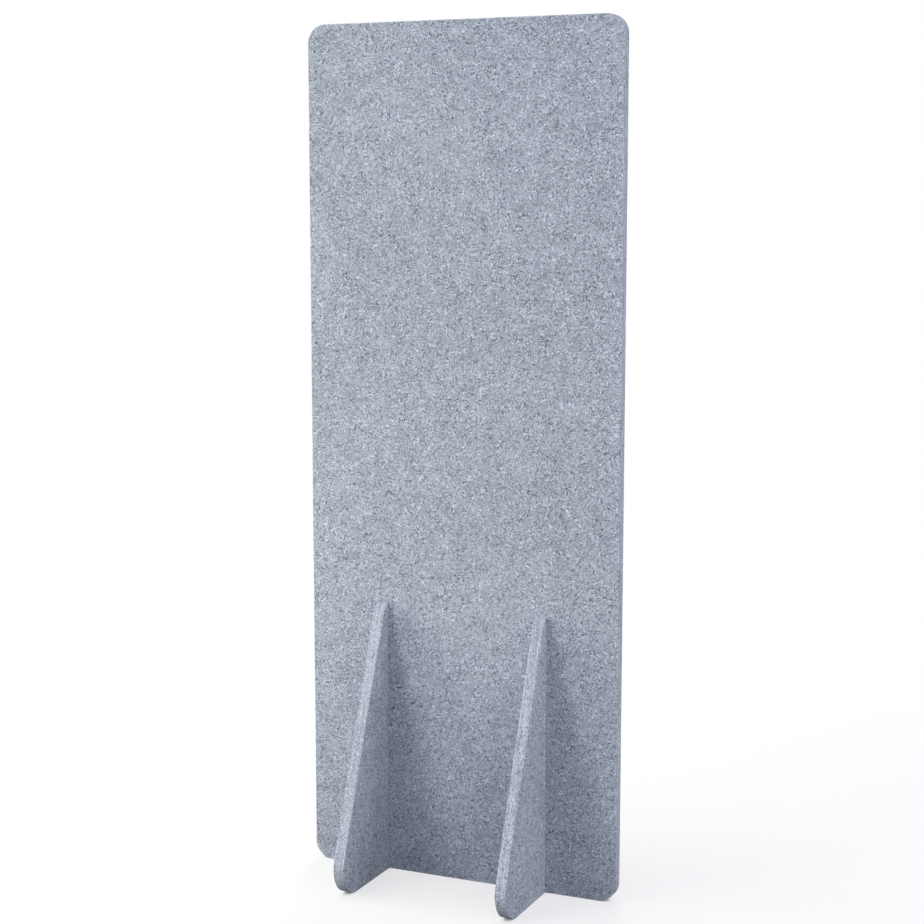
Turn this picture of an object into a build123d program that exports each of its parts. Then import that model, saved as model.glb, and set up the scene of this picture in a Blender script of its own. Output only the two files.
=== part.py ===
"""Acoustic divider screen: a tall felt panel that stands in two triangular feet.

All three pieces are cut from the same rigid felt board. Each foot crosses the
panel at a right angle in a half-lap: the panel is slotted upwards from its
bottom edge, the foot downwards from its crown, and the two slide together.

The origin is on the floor under the middle of the panel. X runs along the
panel, Y from its front to its back, and Z up. Lengths are in millimetres.
"""

import os

from build123d import *

# Board
board_thickness = 24

# Panel
panel_width = 700
panel_height = 1800
panel_corner_radius = 39

# Feet: rounded triangles that stand square to the panel
foot_length = 452
foot_height = 591
foot_tip_radius = 61
foot_crown_radius = 37
foot_inset = 168  # from each side of the panel to the middle of its foot

# Half-laps
lap_height = 296  # top of the uncut lower part of a foot
slot_side_clearance = 0.25  # on each side of the board that a slot takes
slot_end_clearance = 0.3  # between the two slot ends
cut_overrun = 5  # how far a cut starts outside the board

slot_width = board_thickness + 2 * slot_side_clearance
foot_offset = panel_width / 2 - foot_inset
foot_places = {"left_foot": -foot_offset, "right_foot": foot_offset}

os.makedirs("parts", exist_ok=True)


# The panel, with a slot up from its bottom edge for each foot
with BuildPart() as panel:
    with BuildSketch(Plane.XZ):
        with Locations((0, panel_height / 2)):
            RectangleRounded(panel_width, panel_height, panel_corner_radius)
        with Locations(*[(place, -cut_overrun) for place in foot_places.values()]):
            Rectangle(
                slot_width,
                cut_overrun + lap_height + slot_end_clearance,
                align=(Align.CENTER, Align.MIN),
                mode=Mode.SUBTRACT,
            )
    extrude(amount=board_thickness / 2, both=True)

panel.part.label = "panel"
export_step(panel.part, "parts/panel.step")


# The feet: each outline is stretched round two tip circles that stand on the floor
# and a crown circle above the panel's middle, then slotted down from the crown
tip_reach = foot_length / 2 - foot_tip_radius

for foot_name, place in foot_places.items():
    with BuildPart() as foot:
        with BuildSketch(Plane.YZ.offset(place)):
            with Locations((-tip_reach, foot_tip_radius), (tip_reach, foot_tip_radius)):
                Circle(foot_tip_radius)
            with Locations((0, foot_height - foot_crown_radius)):
                Circle(foot_crown_radius)
            make_hull()
            with Locations((0, lap_height)):
                Rectangle(
                    slot_width,
                    foot_height - lap_height + cut_overrun,
                    align=(Align.CENTER, Align.MIN),
                    mode=Mode.SUBTRACT,
                )
        extrude(amount=board_thickness / 2, both=True)

    foot.part.label = foot_name
    export_step(foot.part, "parts/" + foot_name + ".step")
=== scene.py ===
"""Looks of the acoustic divider screen: three slotted boards of heather felt.

Each board is a closed mesh with softened cut edges that stands for its CAD solid.
X runs along the panel, Y from its front to its back, Z up. Lengths are in metres.
"""

import math

import bpy
import numpy as np
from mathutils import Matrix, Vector, noise
from mathutils.geometry import delaunay_2d_cdt


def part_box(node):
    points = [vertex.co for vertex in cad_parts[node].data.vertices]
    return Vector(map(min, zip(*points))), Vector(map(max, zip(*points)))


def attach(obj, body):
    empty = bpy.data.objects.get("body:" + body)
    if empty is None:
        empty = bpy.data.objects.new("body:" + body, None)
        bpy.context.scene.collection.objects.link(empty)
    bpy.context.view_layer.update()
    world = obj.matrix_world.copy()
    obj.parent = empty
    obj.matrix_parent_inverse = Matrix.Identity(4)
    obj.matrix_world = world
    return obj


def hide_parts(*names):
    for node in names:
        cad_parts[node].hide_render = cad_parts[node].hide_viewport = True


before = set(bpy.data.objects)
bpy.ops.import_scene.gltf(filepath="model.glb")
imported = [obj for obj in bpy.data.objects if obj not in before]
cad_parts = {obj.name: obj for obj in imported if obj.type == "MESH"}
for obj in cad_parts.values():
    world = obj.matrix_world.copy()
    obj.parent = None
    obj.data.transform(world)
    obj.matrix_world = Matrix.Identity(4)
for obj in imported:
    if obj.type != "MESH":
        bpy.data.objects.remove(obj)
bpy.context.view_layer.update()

# Sizes of the outlines, with the same radii and clearances as the solids
corner_radius = 0.039
tip_radius = 0.061
crown_radius = 0.037
lap_height = 0.296
slot_side_clearance = 0.00025
slot_end_clearance = 0.0003

panel_low, panel_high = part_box("panel")
thickness = panel_high.y - panel_low.y
slot_width = thickness + 2 * slot_side_clearance
slot_half = slot_width / 2

foot_boxes = {foot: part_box(foot) for foot in ("left_foot", "right_foot")}
foot_places = {foot: (low.x + high.x) / 2 for foot, (low, high) in foot_boxes.items()}

# Mesh: steps round a curve, along a straight cut and across a face, and rows over a cut edge
arc_step = 0.003
run_step = 0.005
face_step = 0.008
side_rows = 6
arris_rows = 4
border_insets = (0.0026, 0.0056)  # rows of points on a face that follow its cuts
border_slack = 0.97  # a row's point stays where no cut is nearer than this share of its inset
slot_slack = 0.01  # share that a point may be outside a slot and still belong to it
merge_distance = 1e-7
inside_only = 1  # the triangulation's own number for keeping what lies inside the border
sharp_angle = 50  # degrees between two faces from which their edge shows as sharp

# How the felt was cut: radius of the softened edges, and how uneven the cuts and faces are.
# Each unevenness has a size, which is about the width of its waves.
cut_arris = 0.0011
slot_arris = 0.00015
cut_wander = 0.00018
wander_size = 0.035
cut_fray = 0.00014
fray_size = 0.004
face_dip = 0.00025
dip_size = 0.14
dip_spread = 4  # the dips change this much faster through the board, so its two faces differ
# Width of the band along a cut that is painted lighter, partly for wear and partly as painted sheen
worn_width = 0.006


# Outlines

def arc(centre_u, centre_v, radius, start, end):
    """Points of an arc, counter-clockwise between two angles in degrees."""
    steps = max(2, math.ceil(radius * math.radians(end - start) / arc_step))
    angles = [math.radians(start + (end - start) * k / steps) for k in range(steps + 1)]
    return [(centre_u + radius * math.cos(a), centre_v + radius * math.sin(a)) for a in angles]


def panel_outline():
    """The panel seen from the front: four round corners, and a slot up from the floor for each foot."""
    side = panel_high.x - corner_radius
    top = panel_high.z - corner_radius
    slot_top = lap_height + slot_end_clearance
    points = arc(-side, corner_radius, corner_radius, 180, 270)
    for place in foot_places.values():
        left, right = place - slot_half, place + slot_half
        points += [(left, 0), (left, slot_top), (right, slot_top), (right, 0)]
    points += arc(side, corner_radius, corner_radius, 270, 360)
    points += arc(side, top, corner_radius, 0, 90)
    points += arc(-side, top, corner_radius, 90, 180)
    return points


def foot_outline(foot):
    """A foot seen from its side: two round tips on the floor, and a crown slotted for the panel."""
    low, high = foot_boxes[foot]
    reach = high.y - tip_radius
    crown = high.z - math.sqrt(crown_radius ** 2 - slot_half ** 2)
    rise = crown - tip_radius
    # A slanted edge touches both circles, so it leans a little more than the line of their centres
    centres_lean = math.atan2(reach, rise)
    extra_lean = math.asin((tip_radius - crown_radius) / math.hypot(reach, rise))
    lean = math.degrees(centres_lean + extra_lean)
    mouth = math.degrees(math.acos(slot_half / crown_radius))
    points = arc(reach, tip_radius, tip_radius, -90, lean)
    points += arc(0, crown, crown_radius, lean, mouth)
    points += [(slot_half, lap_height), (-slot_half, lap_height)]
    points += arc(0, crown, crown_radius, 180 - mouth, 180 - lean)
    points += arc(-reach, tip_radius, tip_radius, 180 - lean, 270)
    return points


def in_panel_slot(u, v):
    """Whether a point of the panel's outline is on the side or the end of a slot."""
    across = min(abs(u - place) for place in foot_places.values())
    return across < slot_half * (1 + slot_slack) and v < lap_height * (1 + slot_slack)


def in_foot_slot(u, v):
    """Whether a point of a foot's outline is on the side or the floor of its slot."""
    return abs(u) < slot_half * (1 + slot_slack) and v > lap_height * (1 - slot_slack)


def filled(points):
    """The outline with its straight runs divided into even steps."""
    made = []
    for start, end in zip(points, points[1:] + points[:1]):
        steps = max(1, math.ceil(math.dist(start, end) / run_step))
        for k in range(steps):
            made.append([a + (b - a) * k / steps for a, b in zip(start, end)])
    return np.array(made)


def inward(loop):
    """For each point of the loop, the move that takes both its edges in by one unit."""
    ahead = np.roll(loop, -1, 0) - loop
    ahead /= np.linalg.norm(ahead, axis=1)[:, None]
    normal = np.stack([-ahead[:, 1], ahead[:, 0]], 1)
    before = np.roll(normal, 1, 0)
    return (normal + before) / (1 + (normal * before).sum(1))[:, None]


def depth(points, loop):
    """How far each point lies inside the loop, or below zero outside it."""
    nearest = np.full(len(points), np.inf)
    inside = np.zeros(len(points), bool)
    for start, end in zip(loop, np.roll(loop, -1, 0)):
        run = end - start
        away = points - start
        share = np.clip(away @ run / (run @ run), 0, 1)
        nearest = np.minimum(nearest, np.hypot(*(away - share[:, None] * run).T))
        if run[1]:
            level = (start[1] > points[:, 1]) != (end[1] > points[:, 1])
            inside ^= level & (away[:, 0] < away[:, 1] * run[0] / run[1])
    return np.where(inside, nearest, -nearest)


# Boards

def unevenness(u, v, w, size):
    """Smooth noise between 0 and 1 whose lumps are about the given size."""
    return 0.5 + 0.5 * noise.noise(Vector((u, v, w)) / size)


def edge_levels():
    """The section of a cut edge, from one face to the other.

    Each level is (inset in arrises, height in half boards, height in arrises).
    """
    turns = [math.radians(-90 + 90 * k / arris_rows) for k in range(arris_rows)]
    lower = [(1 - math.cos(a), -1, 1 + math.sin(a)) for a in turns]
    middle = [(0, share, -share) for share in np.linspace(-1, 1, side_rows + 1)]
    upper = [(inset, -high, -soft) for inset, high, soft in reversed(lower)]
    return lower + middle + upper


def cut_rings(loop, way_in, slotted, free):
    """Rings of points over the cut edge, softened to both faces and frayed where it is free."""
    arris = np.where(slotted, slot_arris, cut_arris)
    rings = []
    for inset, high, soft in edge_levels():
        height = high * thickness / 2 + soft * arris
        fray = np.array([unevenness(u, v, w, fray_size) for (u, v), w in zip(loop, height)])
        moved = loop + way_in * (inset * arris + cut_fray * fray * free)[:, None]
        rings.append(np.column_stack([moved, height]))
    return rings


def face_points(loop, way_in):
    """Points of a face: rows near the cuts to hold their border of wear and painted sheen, and an even
    grid inside them.
    """
    steps = [np.arange(low, high, face_step) for low, high in zip(loop.min(0), loop.max(0))]
    grid = np.stack(np.meshgrid(*steps), -1).reshape(-1, 2)
    held = [grid[depth(grid, loop) > border_insets[-1] + face_step / 2]]
    for inset in border_insets:
        near = loop + way_in * inset
        held.append(near[depth(near, loop) > inset * border_slack])
    return np.vstack(held)


def board_faces(rim, inner, ring_count):
    """Quads between the rings and triangles over the two faces, as numbers of the board's points."""
    count = len(rim)
    flat = [Vector(point) for point in np.vstack([rim, inner])]
    border = [(k, (k + 1) % count) for k in range(count)]
    _, _, triangles, origins, _, _ = delaunay_2d_cdt(flat, border, [], inside_only, merge_distance)
    from_flat = [origin[0] for origin in origins]
    last_ring = (ring_count - 1) * count
    first_inner = ring_count * count

    def on_face(k, top):
        """The number among the board's points of a point of the flat face."""
        if k < count:
            return k + (last_ring if top else 0)
        return first_inner + (k - count) + (len(inner) if top else 0)

    faces = []
    for ring in range(ring_count - 1):
        start = ring * count
        for k in range(count):
            after = (k + 1) % count
            faces.append((start + k, start + after, start + count + after, start + count + k))
    for triangle in triangles:
        a, b, c = [from_flat[k] for k in triangle]
        faces.append((on_face(a, True), on_face(b, True), on_face(c, True)))
        faces.append((on_face(c, False), on_face(b, False), on_face(a, False)))
    return faces


def wear(inner, loop, slotted):
    """How worn each point of a face is, and so how much painted sheen it gets: from 1 at a cut down to
    0, and 0 beside a slot.
    """
    worn_and_sheen = 1 - np.clip(depth(inner, loop) / worn_width, 0, 1)
    for k in np.flatnonzero(worn_and_sheen):
        nearest = np.argmin(((loop - inner[k]) ** 2).sum(1))
        if slotted[nearest]:
            worn_and_sheen[k] = 0
    return worn_and_sheen


def board(name, outline, in_slot, to_space):
    """A felt board of the given outline; to_space takes (along, up, through the board) to the frame."""
    loop = filled(outline)
    way_in = inward(loop)
    slotted = np.array([in_slot(u, v) for u, v in loop])

    # Cuts stray a little from straight, but not in a slot, and less and less down to the floor
    free = np.clip(loop[:, 1] / tip_radius, 0, 1) * ~slotted
    wander = np.array([unevenness(u, v, 0, wander_size) for u, v in loop])
    loop = loop + way_in * (cut_wander * wander * free)[:, None]

    rings = cut_rings(loop, way_in, slotted, free)
    inner = face_points(loop, way_in)
    faces = board_faces(rings[-1][:, :2], inner, len(rings))
    worn_and_sheen = wear(inner, loop, slotted)

    half = thickness / 2
    points = np.vstack(rings + [np.column_stack([inner, np.full(len(inner), w)]) for w in (-half, half)])
    # Cut edges outside the slots, and the faces near them, are painted lighter: partly wear, partly
    # painted sheen
    edge = np.concatenate([np.tile(1.0 - slotted, len(rings)), worn_and_sheen, worn_and_sheen])
    cut = np.concatenate([np.ones(len(rings) * len(loop)), np.zeros(2 * len(inner))])

    # Pressed felt is never quite flat: its faces dip a little between high spots
    dip = np.array([unevenness(u, v, w * dip_spread, dip_size) for u, v, w in points])
    points[:, 2] *= 1 - face_dip / half * dip

    mesh = bpy.data.meshes.new(name)
    mesh.from_pydata([to_space(*point) for point in points], [], faces)
    mesh.attributes.new("edge", "FLOAT", "POINT").data.foreach_set("value", edge)
    mesh.attributes.new("cut", "FLOAT", "POINT").data.foreach_set("value", cut)
    mesh.shade_smooth()
    mesh.set_sharp_from_angle(angle=math.radians(sharp_angle))
    piece = bpy.data.objects.new(name, mesh)
    bpy.context.scene.collection.objects.link(piece)
    return piece


# Nodes

def add(tree, kind, settings=(), inputs=()):
    """A shader node. Inputs are set by name or number to a value or to another node's output."""
    made = tree.nodes.new("ShaderNode" + kind)
    for name, value in dict(settings).items():
        setattr(made, name, value)
    for name, value in dict(inputs).items():
        if isinstance(value, bpy.types.NodeSocket):
            tree.links.new(value, made.inputs[name])
        else:
            made.inputs[name].default_value = value
    return made


def sum_of(tree, operation, *values):
    """Folds the values together with one kind of Math node."""
    total = values[0]
    for value in values[1:]:
        total = add(tree, "Math", {"operation": operation}, {0: total, 1: value}).outputs[0]
    return total


def scaled(tree, value, factor):
    """A signal around a half, moved to zero and scaled."""
    middle = add(tree, "Math", {"operation": "SUBTRACT"}, {0: value, 1: 0.5}).outputs[0]
    return sum_of(tree, "MULTIPLY", middle, factor)


def empty_material(name):
    """A new material and its node tree, with nothing in it."""
    material = bpy.data.materials.new(name)
    material.use_nodes = True
    material.node_tree.nodes.clear()
    return material, material.node_tree


# Felt: length, width and depth of its fibres, and of the softer forms in it
coarse_size = (0.013, 0.0027, 0.0016)
fine_size = (0.010, 0.0018, 0.0009)
hair_size = (0.015, 0.0005, 0.0004)
fleck_size = (0.0034, 0.0034, 0.002)
tuft_size = (0.011, 0.011, 0.006)
mottle_size = (0.038, 0.038, 0.03)
cloud_size = (0.24, 0.24, 0.2)
layer_size = (0.09, 0.09, 0.0042)
bend_size = (0.018, 0.018, 0.018)
bend_reach = 0.005  # how far the fibres are bent out of line

# Fibres lie in directions spread evenly over half a turn
fibre_directions = 5
first_direction = 17
direction_shift = 0.37  # how far apart the noises of two directions start

# How much each of them shows in the tone, and in the height of the surface
coarse_tone = 1.75
fine_tone = 3.4
fleck_tone = 1.5
tuft_contrast = 2.8
cut_contrast = 0.2
hair_tone = 2.2
mottle_tone = 0.36
cloud_tone = 0.15
layer_tone = 0.75
tone_low = -0.4
tone_high = 1.4
coarse_relief = 1.0
fine_relief = 0.8
hair_relief = 0.8
layer_relief = 0.8
relief_height = 0.0009
relief_strength = 0.35

# The mix of fibres, from the darkest to the lightest
felt_shades = (
    (0.0, (0.048, 0.056, 0.077)),
    (0.222, (0.110, 0.127, 0.168)),
    (0.5, (0.372, 0.415, 0.498)),
    (0.778, (0.660, 0.724, 0.824)),
    (1.0, (0.800, 0.862, 0.955)),
)
# Cut edges are painted towards this paler shade: partly wear, partly a painted sheen
worn_and_sheen_shade = (0.62, 0.67, 0.75)
wear_and_sheen_amount = 0.09
mean_roughness = 0.9
hair_roughness = 0.25


def lumps(tree, place, size, start, spin=0, detail=0, roughness=0.5):
    """Noise whose lumps have the given length, width and depth, turned in the plane of the board."""
    laid = add(
        tree,
        "Mapping",
        {"vector_type": "TEXTURE"},
        {
            "Vector": place,
            "Location": (start, -start, start),
            "Rotation": (0, 0, math.radians(spin)),
            "Scale": size,
        },
    ).outputs[0]
    return add(
        tree,
        "TexNoise",
        {},
        {"Vector": laid, "Scale": 1, "Detail": detail, "Roughness": roughness},
    )


def strands(tree, place, size, start):
    """Crossing fibres: where several directions meet, the lightest and the darkest lie on top."""
    laid = []
    for k in range(fibre_directions):
        spin = first_direction + k * 180 / fibre_directions
        laid.append(lumps(tree, place, size, start + direction_shift * k, spin, detail=1).outputs[0])
    lightest = sum_of(tree, "MAXIMUM", *laid)
    darkest = sum_of(tree, "MINIMUM", *laid)
    both = sum_of(tree, "ADD", lightest, darkest)
    return sum_of(tree, "MULTIPLY", both, 0.5)


def felt(name, turn, start):
    """Heather felt of light and dark fibres pressed flat in the plane of the board.

    Every noise in it starts at a place of its own, so that no two lie on each other.
    """
    material, tree = empty_material(name)

    # The board's own directions: the last one goes through its thickness
    own = add(tree, "TexCoord").outputs["Object"]
    texture = {"vector_type": "TEXTURE"}
    place = add(tree, "Mapping", texture, {"Vector": own, "Rotation": turn}).outputs[0]
    bend = lumps(tree, place, bend_size, start + 5.1, detail=1).outputs["Color"]
    middle = (0.5, 0.5, 0.5)
    centred = add(tree, "VectorMath", {"operation": "SUBTRACT"}, {0: bend, 1: middle}).outputs[0]
    shift = add(tree, "VectorMath", {"operation": "SCALE"}, {0: centred, "Scale": bend_reach}).outputs[0]
    bent = add(tree, "VectorMath", {"operation": "ADD"}, {0: place, 1: shift}).outputs[0]

    coarse = strands(tree, bent, coarse_size, start + 1.3)
    fine = strands(tree, bent, fine_size, start + 2.9)
    hairs = strands(tree, bent, hair_size, start + 8.3)
    flecks = lumps(tree, place, fleck_size, start + 3.7, spin=31, detail=2, roughness=0.6).outputs[0]
    tufts = lumps(tree, place, tuft_size, start + 7.9, spin=58, detail=1).outputs[0]
    mottle = lumps(tree, place, mottle_size, start + 4.3, spin=23, detail=2, roughness=0.6).outputs[0]
    clouds = lumps(tree, place, cloud_size, start + 6.1, detail=1).outputs[0]
    edge = add(tree, "Attribute", {"attribute_name": "edge"}).outputs["Fac"]
    cut = add(tree, "Attribute", {"attribute_name": "cut"}).outputs["Fac"]

    # The cuts show the layers that the fibres were laid in
    layers = lumps(tree, bent, layer_size, start + 9.7, detail=2, roughness=0.6).outputs[0]
    strata = sum_of(tree, "MULTIPLY", scaled(tree, layers, 1), cut)

    # Loose tufts, and the fibre ends on a cut, show more contrast than the calm felt between them
    fibres = sum_of(
        tree,
        "ADD",
        scaled(tree, coarse, coarse_tone),
        scaled(tree, fine, fine_tone),
        scaled(tree, flecks, fleck_tone),
    )
    ends = sum_of(tree, "MULTIPLY", cut, cut_contrast)
    contrast = sum_of(tree, "ADD", scaled(tree, tufts, tuft_contrast), ends, 1)
    tone = sum_of(
        tree,
        "ADD",
        sum_of(tree, "MULTIPLY", fibres, contrast),
        scaled(tree, hairs, hair_tone),
        scaled(tree, mottle, mottle_tone),
        scaled(tree, clouds, cloud_tone),
        sum_of(tree, "MULTIPLY", strata, layer_tone),
        0.5,
    )
    spread = add(
        tree,
        "MapRange",
        {},
        {"Value": tone, "From Min": tone_low, "From Max": tone_high},
    ).outputs[0]
    colour = add(tree, "ValToRGB", {}, {"Fac": spread})
    ramp = colour.color_ramp
    while len(ramp.elements) < len(felt_shades):
        ramp.elements.new(0.5)
    for element, (position, shade) in zip(ramp.elements, felt_shades):
        element.position = position
        element.color = (*shade, 1)

    # Edges that were cut and handled are a little fuzzier, and they are painted lighter: partly wear,
    # partly a painted sheen of fuzz catching the light
    wear_and_sheen_mix = sum_of(tree, "MULTIPLY", edge, wear_and_sheen_amount)
    worn_and_sheen = add(
        tree,
        "Mix",
        {"data_type": "RGBA", "blend_type": "MIX"},
        {0: wear_and_sheen_mix, 6: colour.outputs["Color"], 7: (*worn_and_sheen_shade, 1)},
    ).outputs[2]

    relief = sum_of(
        tree,
        "ADD",
        scaled(tree, coarse, coarse_relief),
        scaled(tree, fine, fine_relief),
        scaled(tree, hairs, hair_relief),
        sum_of(tree, "MULTIPLY", strata, layer_relief),
    )
    bump = add(
        tree,
        "Bump",
        {},
        {"Strength": relief_strength, "Distance": relief_height, "Height": relief},
    ).outputs[0]
    rough = sum_of(tree, "ADD", scaled(tree, hairs, hair_roughness), mean_roughness)
    surface = add(
        tree,
        "BsdfPrincipled",
        {},
        {
            "Base Color": worn_and_sheen,
            "Roughness": rough,
            "Specular IOR Level": 0.15,
            "Sheen Weight": 0.08,
            "Sheen Roughness": 0.6,
            "Normal": bump,
        },
    ).outputs[0]
    add(tree, "OutputMaterial", {}, {"Surface": surface})
    return material


# Pieces in place of their solids

def dress(piece, node, material):
    """Puts a board in the place of its solid, on the same body."""
    piece.data.materials.append(material)
    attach(piece, node + "_body")
    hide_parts(node)


# These turns lay the plane of a board flat for its felt: the panel stands along X, the feet along Y
panel_felt = felt("panel_felt", (math.radians(90), 0, 0), start=0)
foot_felt = felt("foot_felt", (0, math.radians(90), 0), start=11)

panel_board = board("panel_board", panel_outline(), in_panel_slot, lambda u, v, w: (u, -w, v))
dress(panel_board, "panel", panel_felt)
for foot, place in foot_places.items():
    foot_board = board(
        foot + "_board",
        foot_outline(foot),
        in_foot_slot,
        lambda u, v, w: (place + w, u, v),
    )
    dress(foot_board, foot, foot_felt)


# Floor
white = (1, 1, 1, 1)
floor_radius = 14
floor_corners = 64
floor_shade = 0.3  # takes the light and shadow that the camera sees
floor_glow = 0.64  # lifts it to nearly white
floor_bounce = 0.12  # what the boards get back from it
white_start = 1.1  # from here, outwards, the floor turns white
white_end = 2.4
contact_reach = 0.02
contact_light = 0.4  # share of open sky above which the floor has its full glow


def seen(tree):
    """One for rays that show the background: from the camera, in gloss or through glass."""
    path = add(tree, "LightPath").outputs
    rays = [path[kind] for kind in ("Is Camera Ray", "Is Glossy Ray", "Is Transmission Ray")]
    return sum_of(tree, "MAXIMUM", *rays)


def grey(level):
    """A grey of the given level, as a colour with its alpha."""
    return (level, level, level, 1)


def floor_material():
    """A pale floor that takes a soft shadow near the screen and runs out into white."""
    material, tree = empty_material("floor_paper")
    own = add(tree, "TexCoord").outputs["Object"]
    away = add(tree, "VectorMath", {"operation": "LENGTH"}, {0: own}).outputs["Value"]
    far = add(
        tree,
        "MapRange",
        {"interpolation_type": "SMOOTHSTEP"},
        {"Value": away, "From Min": white_start, "From Max": white_end},
    ).outputs[0]
    # Under the curve of a tip, where next to no light gets in, the floor goes dark
    open_sky = add(tree, "AmbientOcclusion", {"samples": 8}, {"Distance": contact_reach}).outputs["AO"]
    pale = add(
        tree,
        "MapRange",
        {},
        {"Value": open_sky, "From Max": contact_light, "To Max": floor_glow},
    ).outputs[0]
    shadowed = add(tree, "BsdfDiffuse", {}, {"Color": grey(floor_shade)}).outputs[0]
    glow = add(tree, "Emission", {}, {"Color": white, "Strength": pale}).outputs[0]
    near = add(tree, "AddShader", {}, {0: shadowed, 1: glow}).outputs[0]
    plain = add(tree, "Emission", {}, {"Color": white, "Strength": 1}).outputs[0]
    shown = add(tree, "MixShader", {}, {0: far, 1: near, 2: plain}).outputs[0]
    bounce = add(tree, "BsdfDiffuse", {}, {"Color": grey(floor_bounce)}).outputs[0]
    surface = add(tree, "MixShader", {}, {0: seen(tree), 1: bounce, 2: shown}).outputs[0]
    add(tree, "OutputMaterial", {}, {"Surface": surface})
    return material


floor_mesh = bpy.data.meshes.new("floor")
floor_turns = [2 * math.pi * k / floor_corners for k in range(floor_corners)]
floor_ring = [(floor_radius * math.cos(a), floor_radius * math.sin(a), 0) for a in floor_turns]
floor_mesh.from_pydata(floor_ring, [], [tuple(range(floor_corners))])
floor_mesh.materials.append(floor_material())
floor = bpy.data.objects.new("floor", floor_mesh)
bpy.context.scene.collection.objects.link(floor)


# Light: six soft lamps round the screen, and a dim cool room that the camera sees as white
aim = Vector((0, 0, 0.8))
room_colour = (0.775, 0.765, 1.0, 1)
room_level = 0.7


def softbox(name, azimuth, elevation, distance, width, level, colour):
    """A round soft lamp. Level 1 makes a white surface that faces it at the aim render as white."""
    across, up = math.radians(azimuth), math.radians(elevation)
    way = Vector((math.cos(up) * math.cos(across), math.cos(up) * math.sin(across), math.sin(up)))
    lamp = bpy.data.lights.new(name, "AREA")
    lamp.shape = "DISK"
    lamp.size = width
    lamp.energy = level * math.pi ** 2 * distance ** 2
    lamp.color = colour
    holder = bpy.data.objects.new(name, lamp)
    holder.location = aim + distance * way
    holder.rotation_mode = "QUATERNION"
    holder.rotation_quaternion = way.to_track_quat("Z", "Y")
    holder.visible_camera = False
    bpy.context.scene.collection.objects.link(holder)


softbox("key", azimuth=196, elevation=0, distance=2.4, width=1.6, level=0.77, colour=(1, 1, 0.80))
softbox("front", azimuth=235, elevation=4, distance=3.6, width=1.6, level=0.33, colour=(1, 0.995, 0.86))
softbox("fill", azimuth=320, elevation=12, distance=3.6, width=1.6, level=0.205, colour=(0.98, 1, 0.80))
softbox("side", azimuth=-8, elevation=2, distance=3.0, width=1.2, level=0.225, colour=(1, 0.98, 0.95))
softbox("back", azimuth=105, elevation=25, distance=3.4, width=2.0, level=0.45, colour=(1, 1, 0.85))
softbox("top", azimuth=200, elevation=72, distance=4.2, width=2.4, level=0.27, colour=(1, 1, 0.82))

world = bpy.data.worlds.new("studio")
bpy.context.scene.world = world
world.use_nodes = True
sky = world.node_tree
sky.nodes.clear()
room = add(sky, "Background", {}, {"Color": room_colour, "Strength": room_level}).outputs[0]
backdrop = add(sky, "Background", {}, {"Color": white, "Strength": 1}).outputs[0]
around = add(sky, "MixShader", {}, {0: seen(sky), 1: room, 2: backdrop}).outputs[0]
add(sky, "OutputWorld", {}, {"Surface": around})


# Camera, at the photograph's view: degrees below level and round from straight ahead
camera_down = 7.9269
camera_round = 24.2180
camera_data = bpy.data.cameras.new("camera")
camera_data.sensor_width = 36
camera_data.lens = 75.14
camera = bpy.data.objects.new("camera", camera_data)
camera.location = (1.6273, -3.6240, 1.4523)
camera.rotation_euler = (math.radians(90 - camera_down), 0, math.radians(camera_round))
bpy.context.scene.collection.objects.link(camera)
bpy.context.scene.camera = camera
bpy.context.scene.view_settings.view_transform = "Standard"
